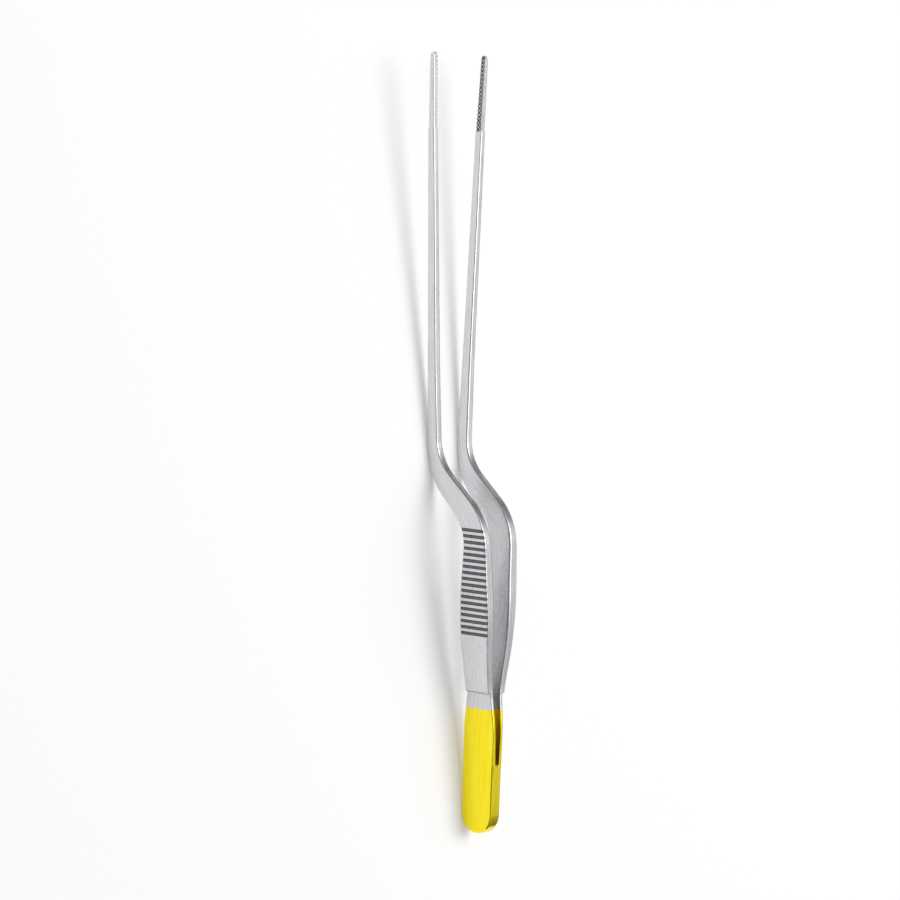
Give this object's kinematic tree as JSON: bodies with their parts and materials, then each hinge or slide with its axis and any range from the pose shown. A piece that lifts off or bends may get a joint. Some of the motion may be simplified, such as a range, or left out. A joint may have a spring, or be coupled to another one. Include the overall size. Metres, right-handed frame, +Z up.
{
  "type": "tissue forceps",
  "caption": "Bayonet tissue forceps: sprung steel arms joined at a gold-plated heel, with grooved grips, offset slender blades and cross-cut carbide jaws.",
  "frame": {"origin": "middle of the bounding box, on the surface that the forceps lie on", "axes": "+X to the right across the halves, the plane X=0 mirrors them; +Y from the heel towards the tips; +Z up, as the forceps lie on the lower edges of the heel and of both bayonet bends"},
  "size_m": [0.0188, 0.1846, 0.0164],
  "materials": {
    "satin_steel": "fine satin, drawn lengthwise",
    "gold_plate": "polished gold plate",
    "carbide": "ground sintered carbide"
  },
  "bodies": {
    "heel": {"heel_weld": "gold_plate"},
    "left_half": {"left_arm": "satin_steel", "left_jaw_insert": "carbide", "left_plating": "gold_plate"},
    "right_half": {"right_arm": "satin_steel", "right_jaw_insert": "carbide", "right_plating": "gold_plate"}
  },
  "joints": [
    {"name": "left_half_flex", "type": "hinge", "parent": "heel", "child": "left_half", "pos_m": [0, -0.07596, 0.00628], "axis": [0, 0.1274, -0.9918], "range_deg": [0, 2.81], "stiffness_Nm_per_rad": 4},
    {"name": "right_half_flex", "type": "hinge", "parent": "heel", "child": "right_half", "pos_m": [0, -0.07596, 0.00628], "axis": [0, -0.1274, 0.9918], "range_deg": [0, 2.81], "stiffness_Nm_per_rad": 4}
  ],
  "couplings": [
    {"joint": "right_half_flex", "follows": "left_half_flex", "ratio": 1}
  ]
}
